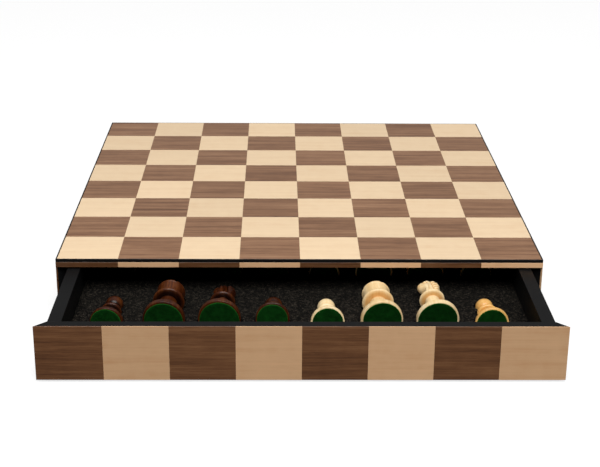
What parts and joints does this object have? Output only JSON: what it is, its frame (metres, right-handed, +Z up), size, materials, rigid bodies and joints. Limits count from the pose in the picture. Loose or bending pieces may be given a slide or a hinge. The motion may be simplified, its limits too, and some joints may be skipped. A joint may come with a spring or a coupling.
{
  "type": "chess set with board",
  "caption": "Square chequered chess board on a flat case, with a mitred drawer in it that stands part open and holds turned chessmen lying in foam.",
  "frame": {"origin": "centre of the case's footprint, on the lower face of the felt that it stands on", "axes": "+Z up through the board; +Y from the drawer front to the back of the case, so the drawer opens towards -Y; +X to the right of someone who faces the drawer"},
  "size_m": [0.4026, 0.515, 0.055],
  "materials": {
    "maple_veneer": "satin lacquered light maple veneer with fine straight grain",
    "walnut_veneer": "satin lacquered walnut veneer with fine straight grain",
    "black_lacquer": "satin black lacquer on board",
    "black_felt": "black felt sheet",
    "foam": "charcoal open-cell foam",
    "dark_wood": "gloss lacquered red-brown turned wood",
    "light_wood": "gloss lacquered pale boxwood, turned",
    "green_felt": "dark green felt"
  },
  "bodies": {
    "case": {"top_core": "black_lacquer", "board_veneer": "maple_veneer", "edge_trim": "black_lacquer", "front_edge_strip": "walnut_veneer", "right_edge_strip": "walnut_veneer", "back_edge_strip": "walnut_veneer", "left_edge_strip": "walnut_veneer", "left_panel": "black_lacquer", "right_panel": "black_lacquer", "back_panel": "black_lacquer", "bottom_panel": "black_lacquer", "left_veneer": "walnut_veneer", "right_veneer": "walnut_veneer", "back_veneer": "walnut_veneer", "underside_felt": "black_felt"},
    "drawer": {"drawer_front": "black_lacquer", "drawer_front_veneer": "walnut_veneer", "drawer_left_side": "black_lacquer", "drawer_right_side": "black_lacquer", "drawer_back": "black_lacquer", "drawer_bottom": "black_lacquer", "foam_insert": "foam", "dark_pawn_3": "dark_wood", "dark_pawn_4": "dark_wood", "dark_pawn_5": "dark_wood", "dark_pawn_6": "dark_wood", "dark_pawn_7": "dark_wood", "dark_pawn_8": "dark_wood", "light_pawn_3": "light_wood", "light_pawn_4": "light_wood", "light_pawn_5": "light_wood", "light_pawn_6": "light_wood", "light_pawn_7": "light_wood", "light_pawn_8": "light_wood", "dark_bishop_1": "dark_wood", "dark_bishop_2": "dark_wood", "light_bishop_1": "light_wood", "light_bishop_2": "light_wood", "dark_rook_2": "dark_wood", "dark_knight_2": "dark_wood", "light_rook_2": "light_wood", "light_knight_2": "light_wood", "dark_queen": "dark_wood", "dark_king": "dark_wood", "light_queen": "light_wood", "light_king": "light_wood"},
    "dark_pawn_1": {"dark_pawn_1": "dark_wood"},
    "dark_rook_1": {"dark_rook_1": "dark_wood"},
    "dark_knight_1": {"dark_knight_1": "dark_wood"},
    "dark_pawn_2": {"dark_pawn_2": "dark_wood"},
    "light_pawn_1": {"light_pawn_1": "light_wood"},
    "light_rook_1": {"light_rook_1": "light_wood"},
    "light_knight_1": {"light_knight_1": "light_wood"},
    "light_pawn_2": {"light_pawn_2": "light_wood"}
  },
  "joints": [
    {"name": "drawer_slide", "type": "slide", "parent": "case", "child": "drawer", "axis": [0, -1, 0], "range_m": [-0.1125, 0.2375]},
    {"name": "dark_pawn_1_lift", "type": "slide", "parent": "drawer", "child": "dark_pawn_1", "axis": [0, 0, 1], "range_m": [0, 0.08]},
    {"name": "dark_rook_1_lift", "type": "slide", "parent": "drawer", "child": "dark_rook_1", "axis": [0, 0, 1], "range_m": [0, 0.08]},
    {"name": "dark_knight_1_lift", "type": "slide", "parent": "drawer", "child": "dark_knight_1", "axis": [0, 0, 1], "range_m": [0, 0.08]},
    {"name": "dark_pawn_2_lift", "type": "slide", "parent": "drawer", "child": "dark_pawn_2", "axis": [0, 0, 1], "range_m": [0, 0.08]},
    {"name": "light_pawn_1_lift", "type": "slide", "parent": "drawer", "child": "light_pawn_1", "axis": [0, 0, 1], "range_m": [0, 0.08]},
    {"name": "light_rook_1_lift", "type": "slide", "parent": "drawer", "child": "light_rook_1", "axis": [0, 0, 1], "range_m": [0, 0.08]},
    {"name": "light_knight_1_lift", "type": "slide", "parent": "drawer", "child": "light_knight_1", "axis": [0, 0, 1], "range_m": [0, 0.08]},
    {"name": "light_pawn_2_lift", "type": "slide", "parent": "drawer", "child": "light_pawn_2", "axis": [0, 0, 1], "range_m": [0, 0.08]}
  ]
}
